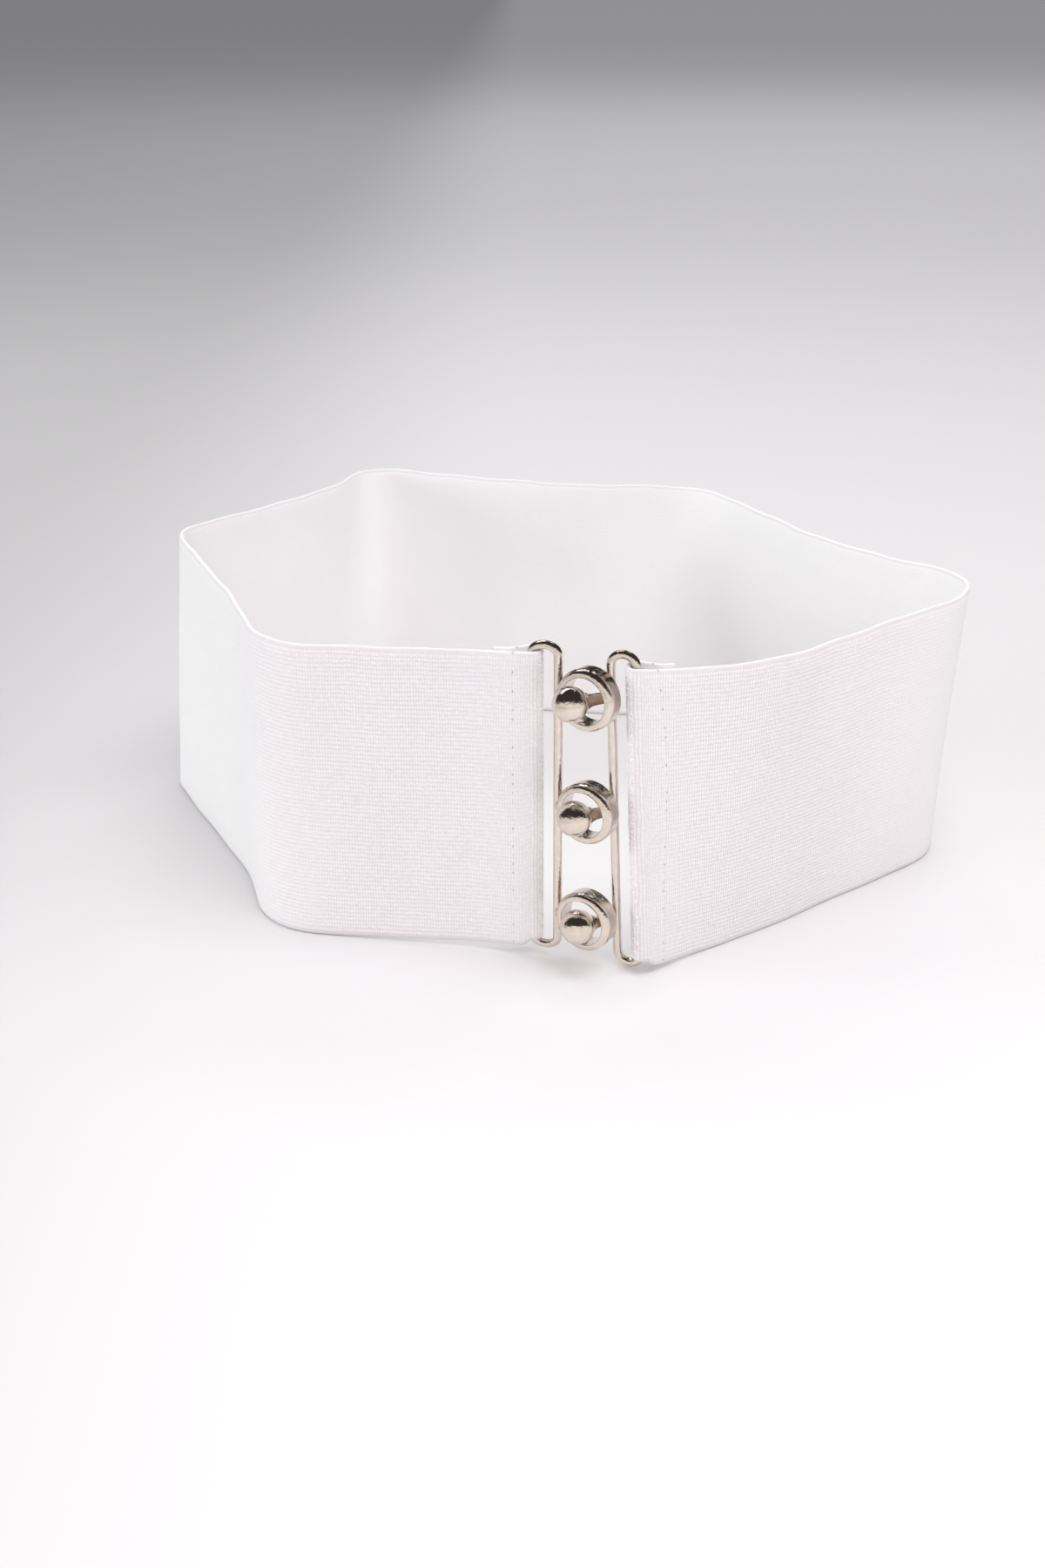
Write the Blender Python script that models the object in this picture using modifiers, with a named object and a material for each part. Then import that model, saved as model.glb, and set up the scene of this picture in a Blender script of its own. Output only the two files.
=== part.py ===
# Wide elastic waist belt, closed by a metal clasp of three balls hooked into three rings.
# The belt is a closed loop that stands on its edge, with the clasp at the front, towards -Y.
# Units are metres and +Z is up. The origin is on the floor, below the middle of the belt.

import math
from collections import namedtuple

import bmesh
import bpy
import numpy as np
from mathutils import Matrix

# Elastic band
BAND_WIDTH = 0.075
BAND_THICKNESS = 0.0012
SELVEDGE_ROUND = 0.00035
LOOP_WIDTH = 0.213
LOOP_DEPTH = 0.183
END_LIFT = 0.002

# Ends of the band, folded back to the inside and stitched down
FLAP_LENGTH = 0.0115
SEAM_FROM_FOLD = 0.0085
SEAM_WIDTH = 0.0008
FLAP_GAP = 0.0002
FLAP_EASE = 0.009

# Wire frames of the clasp, each a long loop with round ends
WIRE_DIAMETER = 0.0021
FRAME_HEIGHT = 0.0805
FRAME_WIDTH = 0.0084

# Rings, cast on the left frame, and how far the middle ring sits below the frame's middle
RING_DIAMETER = 0.0148
RING_BORE = 0.0112
RING_DEPTH = 0.0050
RING_STEP = 0.0002
RING_EDGE = 0.0003
RING_SPACING = 0.028
RINGS_LOW = 0.0008
RING_ROOT_OVERLAP = 0.0003
ROOT_DIAMETER = 0.0028

# Balls on flat arms, cast on the right frame
BALL_DIAMETER = 0.0083
BALL_PROUD = 0.0047
BALL_ASIDE = 0.0007
ARM_HEIGHT = 0.0026
ARM_THICKNESS = 0.0013

# How the closed clasp lies: the turns of the two frames and of the rings from the front, how far
# the ball frame's bar lies behind the rings and beside their middle, how far the left frame is held
# off the floor by the band, and how far the top end of each frame leans to the side and back
CLEARANCE = 0.0003
RING_FRAME_TURN = math.radians(20)
RINGS_TURN = math.radians(34)
BALL_FRAME_TURN = math.radians(25)
BAR_BEHIND_RINGS = 0.0005
BAR_BESIDE_RINGS = 0.0048
RING_FRAME_RAISED = 0.001
RING_FRAME_LEAN = (-0.0004, 0.0005)
BALL_FRAME_LEAN = (-0.0033, 0.0010)

# The loop seen from above, a row for each fold, from the clasp's left side round the back to its
# right side. x and y place the fold's corner at the floor, from the middle of the clasp, as shares
# of LOOP_WIDTH and LOOP_DEPTH. round is the length of panel that the fold takes on each side, as a
# share of LOOP_WIDTH. lean_x and lean_y carry the top edge sideways, as shares of BAND_WIDTH.
Fold = namedtuple("Fold", "name x y round lean_x lean_y")
FOLDS = (
    Fold("front left", -0.368, 0.100, 0.061, 0.013, 0.043),
    Fold("left side", -0.405, 0.262, 0.080, 0.013, 0.000),
    Fold("left corner", -0.552, 0.605, 0.042, 0.073, 0.040),
    Fold("back left panel", -0.349, 0.845, 0.085, 0.000, 0.000),
    Fold("back left corner", -0.300, 1.009, 0.061, 0.000, 0.000),
    Fold("back panel", -0.051, 0.895, 0.117, 0.000, 0.000),
    Fold("back right corner", 0.189, 0.870, 0.052, 0.000, 0.000),
    Fold("back right panel", 0.334, 0.534, 0.084, 0.000, 0.000),
    Fold("right corner", 0.496, 0.370, 0.125, 0.047, -0.013),
    Fold("front right", 0.170, 0.064, 0.075, 0.080, -0.060),
)

# Fineness of the curved surfaces
LOOP_STATIONS = 120
CORNER_POINTS = 24
FOLD_STEPS = 10
EASE_STEPS = 4
ROWS_UP = (0.0, 0.08, 0.5, 1.0)
WIRE_RESOLUTION = 3
ARC_STEPS = 10
RING_STEPS = 32
BALL_SEGMENTS = 18

WIRE_RADIUS = WIRE_DIAMETER / 2
FRAME_PITCH = FRAME_WIDTH - WIRE_DIAMETER
FOLD_RADIUS = WIRE_RADIUS + CLEARANCE + BAND_THICKNESS / 2
RING_ROOT = RING_DIAMETER / 2 + WIRE_RADIUS - RING_ROOT_OVERLAP
BAR_SETBACK = RING_DEPTH / 2 + WIRE_RADIUS + BAR_BEHIND_RINGS
RING_HEIGHTS = (-RINGS_LOW - RING_SPACING, -RINGS_LOW, -RINGS_LOW + RING_SPACING)


def new_collection(name):
    collection = bpy.data.collections.new(name)
    bpy.context.scene.collection.children.link(collection)
    return collection


def new_material(name, colour, roughness, metallic):
    """A plain Principled material."""
    material = bpy.data.materials.new(name)
    material.use_nodes = True
    shader = material.node_tree.nodes["Principled BSDF"]
    shader.inputs["Base Color"].default_value = (*colour, 1.0)
    shader.inputs["Roughness"].default_value = roughness
    shader.inputs["Metallic"].default_value = metallic
    return material


def add_object(name, mesh, collection, material=None):
    obj = bpy.data.objects.new(name, mesh)
    collection.objects.link(obj)
    if material:
        mesh.materials.append(material)
    return obj


def make_helper(obj):
    """Marks an object that only a Boolean uses."""
    obj.hide_render = True
    obj.display_type = "WIRE"
    return obj


def unite(obj, piece):
    """Fuses a helper piece into an object."""
    boolean = obj.modifiers.new("union_" + piece.name, "BOOLEAN")
    boolean.operation = "UNION"
    boolean.solver = "EXACT"
    boolean.object = piece


# The two wire frames


def frame_matrix(bar_x, bar_y, turn, lean, base_z):
    """Place of a frame: its own X runs along the frame, its own Y points into the belt.

    The bar at its own X = 0 stands at (bar_x, bar_y) half way up, and its top end leans by lean.
    """
    up = Matrix.Identity(3)
    up.col[2] = (lean[0] / FRAME_HEIGHT, lean[1] / FRAME_HEIGHT, 1.0)
    axis_z = up.col[2].normalized()
    along = Matrix.Rotation(-turn, 3, "Z").col[0]
    axis_x = (along - axis_z * along.dot(axis_z)).normalized()
    axis_y = axis_z.cross(axis_x)
    turned = Matrix((axis_x, axis_y, axis_z)).transposed().to_4x4()
    return Matrix.Translation((bar_x, bar_y, base_z + FRAME_HEIGHT / 2)) @ turned


def clasp_places():
    """Matrices of the two frames, with the middle of the rings at the plan's origin."""
    along = np.array((math.cos(RINGS_TURN), -math.sin(RINGS_TURN)))
    inward = np.array((math.sin(RINGS_TURN), math.cos(RINGS_TURN)))
    left_bar = -RING_ROOT * along
    right_bar = BAR_BESIDE_RINGS * along + BAR_SETBACK * inward
    left = frame_matrix(*left_bar, RING_FRAME_TURN, RING_FRAME_LEAN, RING_FRAME_RAISED)
    right = frame_matrix(*right_bar, BALL_FRAME_TURN, BALL_FRAME_LEAN, 0.0)
    return left, right


def ring_place(height):
    """A ring's place on its frame: beside the bar, bent forward from the frame's own plane."""
    bend = Matrix.Rotation(RING_FRAME_TURN - RINGS_TURN, 4, "Z")
    return bend @ Matrix.Translation((RING_ROOT, 0.0, height))


def wire_loop_points(side):
    """Centre line of the long loop: a bar at X = 0, another at side * FRAME_PITCH, half circles between."""
    radius = FRAME_PITCH / 2
    straight = FRAME_HEIGHT / 2 - FRAME_WIDTH / 2
    points = []
    for centre_z, start in ((straight, 0.0), (-straight, math.pi)):
        for angle in np.linspace(start, start + math.pi, ARC_STEPS + 1):
            points.append((radius * math.cos(angle), 0.0, centre_z + radius * math.sin(angle)))
    return [(x + side * radius, y, z) for x, y, z in points]


def wire_loop(name, side, collection, material):
    """The frame's wire: a closed curve with a round bevel, made a mesh so that others can be fused to it."""
    curve = bpy.data.curves.new(name, "CURVE")
    curve.dimensions = "3D"
    curve.bevel_depth = WIRE_RADIUS
    curve.bevel_resolution = WIRE_RESOLUTION
    points = wire_loop_points(side)
    spline = curve.splines.new("POLY")
    spline.points.add(len(points) - 1)
    for point, place in zip(spline.points, points):
        point.co = (*place, 1.0)
    spline.use_cyclic_u = True
    guide = add_object(name + "_guide", curve, collection)
    bpy.context.view_layer.update()
    mesh = bpy.data.meshes.new_from_object(guide.evaluated_get(bpy.context.evaluated_depsgraph_get()))
    mesh.name = name
    bpy.data.objects.remove(guide)
    loop = bmesh.new()
    loop.from_mesh(mesh)
    bmesh.ops.remove_doubles(loop, verts=loop.verts, dist=1e-6)
    bmesh.ops.recalc_face_normals(loop, faces=loop.faces)
    loop.to_mesh(mesh)
    loop.free()
    mesh.materials.clear()
    return add_object(name, mesh, collection, material)


def ring_blank(name, height, helpers):
    """A short deep ring: its section, with broken edges and a step half way, turned about its own Y."""
    outer = RING_DIAMETER / 2
    inner = RING_BORE / 2
    half = RING_DEPTH / 2
    edge = RING_EDGE
    back = outer - RING_STEP
    section = (
        (inner, -half + edge),
        (inner + edge, -half),
        (outer - edge, -half),
        (outer, -half + edge),
        (outer, 0.0),
        (back, RING_STEP),
        (back, half - edge),
        (back - edge, half),
        (inner + edge, half),
        (inner, half - edge),
    )
    mesh = bpy.data.meshes.new(name)
    count = len(section)
    corners = [(radius, depth, 0.0) for radius, depth in section]
    mesh.from_pydata(corners, [(i, (i + 1) % count) for i in range(count)], [])
    ring = make_helper(add_object(name, mesh, helpers))
    screw = ring.modifiers.new("turn", "SCREW")
    screw.axis = "Y"
    screw.steps = RING_STEPS
    screw.render_steps = RING_STEPS
    screw.use_merge_vertices = True
    screw.merge_threshold = 1e-6
    screw.use_normal_calculate = True
    ring.matrix_world = ring_place(height)
    return ring


def ring_root(name, height, helpers):
    """The small lump of metal between the bar and a ring."""
    mesh = bpy.data.meshes.new(name)
    lump = bmesh.new()
    radius = ROOT_DIAMETER / 2
    length = RING_ROOT - (RING_DIAMETER + RING_BORE) / 4
    bmesh.ops.create_cone(
        lump, cap_ends=True, segments=12, radius1=radius, radius2=radius, depth=length
    )
    lump.to_mesh(mesh)
    lump.free()
    root = make_helper(add_object(name, mesh, helpers))
    back_to_bar = Matrix.Translation((length / 2 - RING_ROOT, 0.0, 0.0))
    root.matrix_world = ring_place(height) @ back_to_bar @ Matrix.Rotation(math.pi / 2, 4, "Y")
    return root


def ring_frame(place, collection, helpers, material):
    """Left half of the clasp: wire frame and three rings, one casting."""
    frame = wire_loop("ring_frame", -1, collection, material)
    pieces = []
    for number, height in enumerate(RING_HEIGHTS, 1):
        pieces.append(ring_blank(f"ring_{number}", height, helpers))
        pieces.append(ring_root(f"ring_root_{number}", height, helpers))
    seat(frame, pieces, place)
    return frame


def ball_blank(name, place, helpers):
    """A ball, its poles up and down."""
    mesh = bpy.data.meshes.new(name)
    ball = bmesh.new()
    bmesh.ops.create_uvsphere(
        ball, u_segments=BALL_SEGMENTS, v_segments=BALL_SEGMENTS * 2 // 3, radius=BALL_DIAMETER / 2
    )
    ball.to_mesh(mesh)
    ball.free()
    blank = make_helper(add_object(name, mesh, helpers))
    blank.location = place
    return blank


def arm_blank(name, place, helpers):
    """A flat arm that runs forward from the bar, through the ring, to the ball: a ribbon with a wall."""
    reach_x, reach_y, height = place
    low = np.array(((0.0, 0.0, height - ARM_HEIGHT / 2), (reach_x, reach_y, height - ARM_HEIGHT / 2)))
    high = low + (0.0, 0.0, ARM_HEIGHT)
    return make_helper(ribbon(name, np.stack([low, high]), ARM_THICKNESS, helpers))


def ball_frame(place, left, collection, helpers, material):
    """Right half of the clasp: wire frame, three flat arms and three balls, one casting."""
    frame = wire_loop("ball_frame", 1, collection, material)
    from_ring = Matrix.Translation((-BALL_ASIDE, -BALL_PROUD, 0.0))
    middle = (place.inverted() @ left @ ring_place(-RINGS_LOW) @ from_ring).translation
    pieces = []
    for number, height in enumerate(RING_HEIGHTS, 1):
        spot = (middle.x, middle.y, middle.z + RINGS_LOW + height)
        pieces.append(arm_blank(f"arm_{number}", spot, helpers))
        pieces.append(ball_blank(f"ball_{number}", spot, helpers))
    seat(frame, pieces, place)
    return frame


def seat(frame, pieces, place):
    """Puts a frame and its helper pieces in place together, and fuses them."""
    bpy.context.view_layer.update()
    frame.matrix_world = place
    for piece in pieces:
        piece.matrix_world = place @ piece.matrix_world
        unite(frame, piece)


# The elastic band


def ribbon(name, rows, thickness, collection, material=None):
    """An open grid of points, rows[up][along], given a wall of the stated thickness."""
    up, along = rows.shape[:2]
    index = np.arange(up * along).reshape(up, along)
    quads = np.stack([index[:-1, :-1], index[:-1, 1:], index[1:, 1:], index[1:, :-1]], axis=-1)
    mesh = bpy.data.meshes.new(name)
    mesh.from_pydata(rows.reshape(-1, 3).tolist(), [], quads.reshape(-1, 4).tolist())
    wall = add_object(name, mesh, collection, material)
    solidify = wall.modifiers.new("wall", "SOLIDIFY")
    solidify.thickness = thickness
    solidify.offset = 0.0
    solidify.use_even_offset = True
    return wall


def rounded_path(corners, rounds):
    """A path through straight panels, each inner corner a parabola that starts round away from it."""
    points = [corners[0]]
    weight = np.linspace(0.0, 1.0, CORNER_POINTS)[:, None]
    for before, corner, after, length in zip(corners, corners[1:], corners[2:], rounds):
        start = corner + length * (before - corner) / np.linalg.norm(before - corner)
        end = corner + length * (after - corner) / np.linalg.norm(after - corner)
        points.extend((1 - weight) ** 2 * start + 2 * weight * (1 - weight) * corner + weight**2 * end)
    points.append(corners[-1])
    return np.array(points)


def along_path(path, distance):
    """Points at these distances along a path, and the outward normals there. It runs on past both ends."""
    steps = np.diff(path, axis=0)
    lengths = np.linalg.norm(steps, axis=1)
    reached = np.concatenate([[0.0], np.cumsum(lengths)])
    inside = np.clip(distance, 0.0, reached[-1])
    spots = np.stack([np.interp(inside, reached, path[:, axis]) for axis in (0, 1)], axis=1)
    near = SELVEDGE_ROUND
    after = np.clip(inside + near, 0.0, reached[-1])
    before = np.clip(inside - near, 0.0, reached[-1])
    tangent = np.stack([np.interp(after, reached, path[:, axis]) for axis in (0, 1)], axis=1)
    tangent -= np.stack([np.interp(before, reached, path[:, axis]) for axis in (0, 1)], axis=1)
    tangent /= np.linalg.norm(tangent, axis=1)[:, None]
    spots += tangent * (distance - inside)[:, None]
    outward = np.stack([-tangent[:, 1], tangent[:, 0]], axis=1)
    return spots, outward


def end_fold():
    """Distance from the bar and offset from the panel, from the flap's end round the bar to the panel."""
    beyond_bar = FOLD_RADIUS + BAND_THICKNESS / 2
    seam = SEAM_FROM_FOLD - beyond_bar
    flap = FLAP_LENGTH - beyond_bar
    apart = (BAND_THICKNESS + FLAP_GAP) / 2
    ease = np.linspace(0.0, 1.0, EASE_STEPS + 1)
    smooth = ease * ease * (3.0 - 2.0 * ease)
    inner = np.stack([seam * (1 - ease), -apart - (FOLD_RADIUS - apart) * smooth], axis=1)
    angle = np.linspace(-math.pi / 2, math.pi / 2, FOLD_STEPS + 1)[1:-1]
    turn = np.stack([-FOLD_RADIUS * np.cos(angle), FOLD_RADIUS * np.sin(angle)], axis=1)
    outer = inner[::-1] * (1.0, -1.0)
    tail = np.stack([flap + FLAP_EASE * ease, apart * (1 - smooth)], axis=1)
    return np.concatenate([[(flap, -apart)], inner, turn, outer, tail])


def edge_route(path, fold):
    """One edge of the band seen from above: left fold, loop and right fold, all along one path."""
    length = np.linalg.norm(np.diff(path, axis=0), axis=1).sum()
    reach = fold[-1, 0]
    loop = np.linspace(reach, length - reach, LOOP_STATIONS)[1:-1]
    distance = np.concatenate([fold[:, 0], loop, length - fold[::-1, 0]])
    offset = np.concatenate([fold[:, 1], np.zeros(len(loop)), fold[::-1, 1]])
    spots, outward = along_path(path, distance)
    return spots + outward * offset[:, None], distance, length


def bar_at(place, side, height):
    """Where the hidden bar of a frame passes a height, seen from above."""
    foot = place @ Matrix.Translation((side * FRAME_PITCH, 0.0, 0.0))
    axis = foot.col[2]
    rise = (height - foot.translation.z) / axis.z
    return np.array((foot.translation.x + axis.x * rise, foot.translation.y + axis.y * rise))


def fold_rise(distance):
    """How far the bottom edge rises round a fold, where the frame's round end passes under it."""
    radius = FRAME_PITCH / 2
    inner = radius - WIRE_RADIUS
    reach = radius - (WIRE_RADIUS + CLEARANCE)
    highest = FRAME_WIDTH / 2 - math.sqrt(max(inner**2 - reach**2, 0.0)) + CLEARANCE
    return max(highest - END_LIFT, 0.0) * np.clip(1.0 - distance / FOLD_RADIUS, 0.0, 1.0)


def elastic_band(left, right, collection, helpers, material):
    """The whole band: one strip that folds round both hidden bars, and its two seams."""
    left_lift = END_LIFT + RING_FRAME_RAISED
    routes = []
    for height, lean in ((0.0, 0.0), (BAND_WIDTH, 1.0)):
        corners = [bar_at(left, -1, left_lift + height)]
        for fold in FOLDS:
            x = fold.x * LOOP_WIDTH + lean * fold.lean_x * BAND_WIDTH
            y = fold.y * LOOP_DEPTH + lean * fold.lean_y * BAND_WIDTH
            corners.append(np.array((x, y)))
        corners.append(bar_at(right, 1, END_LIFT + height))
        routes.append(rounded_path(corners, [fold.round * LOOP_WIDTH for fold in FOLDS]))
    fold = end_fold()
    bottom, distance, length = edge_route(routes[0], fold)
    top = edge_route(routes[1], fold)[0]

    panels = np.linalg.norm(np.diff(routes[0][[0, 1, -2, -1]], axis=0), axis=1)
    lift = left_lift * np.clip(1.0 - distance / panels[0], 0.0, 1.0) ** 2
    lift += END_LIFT * np.clip(1.0 - (length - distance) / panels[2], 0.0, 1.0) ** 2
    low = np.column_stack([bottom, lift])
    high = np.column_stack([top, lift + BAND_WIDTH])
    rows = np.stack([low + share * (high - low) for share in ROWS_UP])
    rows[0, :, 2] += fold_rise(np.minimum(distance, length - distance))
    band = ribbon("elastic_band", rows, BAND_THICKNESS, collection, material)
    bevel = band.modifiers.new("selvedge", "BEVEL")
    bevel.width = SELVEDGE_ROUND
    bevel.segments = 1
    bevel.limit_method = "ANGLE"
    bevel.angle_limit = math.radians(60)

    seam_centre = SEAM_FROM_FOLD - FOLD_RADIUS - BAND_THICKNESS / 2
    for number in (0, 1):
        name = ("seam_left", "seam_right")[number]
        edges = []
        for path, height in ((routes[0], END_LIFT + 0.05 * BAND_WIDTH), (routes[1], 0.97 * BAND_WIDTH)):
            length = np.linalg.norm(np.diff(path, axis=0), axis=1).sum()
            at = np.array((seam_centre - SEAM_WIDTH / 2, seam_centre + SEAM_WIDTH / 2))
            spots = along_path(path, at if number == 0 else length - at)[0]
            edges.append(np.column_stack([spots, np.full(2, height)]))
        wall = FLAP_GAP + BAND_THICKNESS / 2
        unite(band, make_helper(ribbon(name, np.stack(edges), wall, helpers)))
    return band


def stand_on_origin(nodes, helpers):
    """Moves everything so that the origin lies on the floor below the middle of the belt."""
    bpy.context.view_layer.update()
    graph = bpy.context.evaluated_depsgraph_get()
    corners = []
    for node in nodes:
        shape = node.evaluated_get(graph)
        corners.extend(tuple(shape.matrix_world @ vertex.co) for vertex in shape.to_mesh().vertices)
        shape.to_mesh_clear()
    corners = np.array(corners)
    middle = (corners.min(axis=0) + corners.max(axis=0)) / 2
    shift = Matrix.Translation((-middle[0], -middle[1], 0.0))
    for obj in [*nodes, *helpers.objects]:
        obj.matrix_world = shift @ obj.matrix_world


def main():
    for obj in list(bpy.data.objects):
        bpy.data.objects.remove(obj)
    belt = new_collection("elastic_belt")
    helpers = new_collection("elastic_belt_helpers")
    elastic = new_material("elastic", (0.87, 0.83, 0.86), 0.9, 0.0)
    metal = new_material("clasp_metal", (0.80, 0.72, 0.64), 0.16, 1.0)

    left, right = clasp_places()
    nodes = [
        ring_frame(left, belt, helpers, metal),
        ball_frame(right, left, belt, helpers, metal),
        elastic_band(left, right, belt, helpers, elastic),
    ]
    stand_on_origin(nodes, helpers)
    for node in nodes:
        node.data.shade_smooth()
        node.data.set_sharp_from_angle(angle=math.radians(40))


main()
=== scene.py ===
import math
from collections import namedtuple

import bpy
import numpy as np
from mathutils import Matrix, Vector


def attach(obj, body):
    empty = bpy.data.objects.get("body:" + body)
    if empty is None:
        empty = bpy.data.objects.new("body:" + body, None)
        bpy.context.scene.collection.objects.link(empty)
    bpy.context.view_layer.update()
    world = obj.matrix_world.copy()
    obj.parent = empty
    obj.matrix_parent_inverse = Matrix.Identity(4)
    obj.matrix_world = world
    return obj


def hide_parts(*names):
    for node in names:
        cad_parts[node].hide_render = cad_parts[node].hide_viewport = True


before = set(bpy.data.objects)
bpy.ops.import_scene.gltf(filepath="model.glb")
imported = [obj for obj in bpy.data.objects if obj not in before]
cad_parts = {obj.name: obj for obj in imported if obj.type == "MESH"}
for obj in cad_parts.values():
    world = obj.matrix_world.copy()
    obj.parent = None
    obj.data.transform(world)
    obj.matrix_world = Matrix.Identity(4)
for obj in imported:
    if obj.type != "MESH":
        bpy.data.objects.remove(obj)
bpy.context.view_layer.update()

# Wide white elastic belt that stands on its edge, closed into a loop by a metal clasp of three balls
# hooked into three rings. Metres, +Z up, the clasp at the front towards -Y.


# Camera
# It looks down on the clasp from just in front of the belt, as in the photograph. The 36 mm of the
# sensor are the long side of an image of 1200 by 1800.
VIEW_FROM = (-0.0069, -0.4701, 0.2189)
VIEW_DOWN = math.radians(24.083)
VIEW_LENS = 42.0

camera = bpy.data.objects.new("camera", bpy.data.cameras.new("camera"))
camera.data.lens = VIEW_LENS
camera.data.sensor_width = 36.0
camera.data.clip_start = 0.01
camera.location = VIEW_FROM
camera.rotation_euler = (math.pi / 2 - VIEW_DOWN, 0.0, 0.0)
bpy.context.scene.collection.objects.link(camera)
bpy.context.scene.camera = camera
bpy.context.scene.view_settings.view_transform = "Standard"


# Elastic band
# A strip of white woven elastic, ribbed along its length, with a smooth selvedge at both edges. Each
# end is folded back to the inside round the hidden bar of its clasp half and sewn down.
BAND_WIDTH = 0.075
BAND_THICKNESS = 0.0012
LOOP_WIDTH = 0.213
LOOP_DEPTH = 0.183
END_LIFT = 0.002
LEFT_END_RAISED = 0.001
FLAP_LENGTH = 0.0115
SEAM_FROM_FOLD = 0.0085
FLAP_GAP = 0.0002
FLAP_EASE = 0.009
FOLD_RADIUS = 0.00195
ROUND_END_RISE = 0.00142
PANEL_STATIONS = 420
FACE_ROWS = 26
SELVEDGE_ROWS = 7
CLASP_AT = (0.0080876, -0.0869027)
LEFT_BAR_LOW = (-0.012473, 0.006453)
LEFT_BAR_RISE = (-0.00497, 0.00621)
RIGHT_BAR_LOW = (0.013598, -0.002489)
RIGHT_BAR_RISE = (-0.04099, 0.01242)

# Each fold of the loop from the clasp's left side round to its right side: its corner at the floor as
# shares of LOOP_WIDTH and LOOP_DEPTH, its rounding as a share of LOOP_WIDTH, and the lean of the top
# edge as shares of BAND_WIDTH
Fold = namedtuple("Fold", "name x y round lean_x lean_y")
FOLDS = (
    Fold("front left", -0.368, 0.100, 0.061, 0.013, 0.043),
    Fold("left side", -0.405, 0.262, 0.066, 0.013, 0.000),
    Fold("left corner", -0.552, 0.605, 0.042, 0.073, 0.040),
    Fold("back left panel", -0.349, 0.845, 0.085, 0.000, 0.000),
    Fold("back left corner", -0.300, 1.009, 0.061, 0.000, 0.000),
    Fold("back panel", -0.051, 0.895, 0.117, 0.000, 0.000),
    Fold("back right corner", 0.189, 0.870, 0.052, 0.000, 0.000),
    Fold("back right panel", 0.334, 0.534, 0.084, 0.000, 0.000),
    Fold("right corner", 0.496, 0.370, 0.125, 0.047, -0.013),
    Fold("front right", 0.170, 0.064, 0.075, 0.080, -0.060),
)

# Where the stitching runs, as distances from the fold's crest at shares of the band's height
SEAM_LINES = (
    ((0.0, 0.0079), (0.5, 0.0078), (1.0, 0.0076)),
    ((0.0, 0.0083), (0.25, 0.0086), (0.6, 0.0099), (0.8, 0.0095), (1.0, 0.0078)),
)


def rounded_route(corners, rounds):
    """Straight panels, joined at each corner by the parabola (1-t)^2 a + 2t(1-t) corner + t^2 b."""
    t = np.linspace(0.0, 1.0, 40)[:, None]
    route = [corners[:1]]
    for before, corner, after, length in zip(corners, corners[1:], corners[2:], rounds):
        a = corner + length * (before - corner) / np.linalg.norm(before - corner)
        b = corner + length * (after - corner) / np.linalg.norm(after - corner)
        route.append((1 - t) ** 2 * a + 2 * t * (1 - t) * corner + t**2 * b)
    route.append(corners[-1:])
    return np.concatenate(route)


def along_route(route, distance):
    """Points at these distances along a route and the outward normals there, straight on past its ends."""
    steps = np.linalg.norm(np.diff(route, axis=0), axis=1)
    reached = np.concatenate([[0.0], np.cumsum(steps)])
    inside = np.clip(distance, 0.0, reached[-1])
    little = 0.0006

    def spot_at(way):
        return np.stack([np.interp(way, reached, route[:, k]) for k in (0, 1)], axis=1)

    spots = spot_at(inside)
    ahead = np.clip(inside + little, 0.0, reached[-1])
    behind = np.clip(inside - little, 0.0, reached[-1])
    tangent = spot_at(ahead) - spot_at(behind)
    tangent /= np.linalg.norm(tangent, axis=1)[:, None]
    spots += tangent * (distance - inside)[:, None]
    return spots, np.stack([-tangent[:, 1], tangent[:, 0]], axis=1)


def smooth_step(share):
    """3s^2 - 2s^3 of a share held between 0 and 1."""
    share = np.clip(share, 0.0, 1.0)
    return share * share * (3.0 - 2.0 * share)


def end_fold():
    """Distance from the bar and offset from the panel: flap, seam, half circle round the bar, panel.

    The outer face stands off by R (1 - smooth_step(d / reach)); the flap is sewn up against it.
    """
    beyond = FOLD_RADIUS + BAND_THICKNESS / 2
    seam, flap = SEAM_FROM_FOLD - beyond, FLAP_LENGTH - beyond
    apart = BAND_THICKNESS + FLAP_GAP
    reach = flap + FLAP_EASE

    def stand_off(distance):
        return FOLD_RADIUS * (1 - smooth_step(distance / reach))

    sewn = np.linspace(flap, seam, 9)[:-1]
    loose = np.linspace(seam, 0.0, 15)
    at_seam = stand_off(seam) - apart
    under = np.stack([sewn, stand_off(sewn) - apart], axis=1)
    inner = np.stack([loose, at_seam - (FOLD_RADIUS + at_seam) * smooth_step(1 - loose / seam)], axis=1)
    angle = np.linspace(-math.pi / 2, math.pi / 2, 25)[1:-1]
    turn = np.stack([-FOLD_RADIUS * np.cos(angle), FOLD_RADIUS * np.sin(angle)], axis=1)
    out = np.concatenate([loose[::-1], sewn[::-1]])
    tail = np.linspace(flap, reach, 15)[1:]
    outer = np.concatenate([out, tail])
    return np.concatenate([under, inner, turn, np.stack([outer, stand_off(outer)], axis=1)])


def bar_at(low, rise, height):
    """Where a hidden bar passes a height."""
    return np.array(low) + np.array(rise) * height


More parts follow.
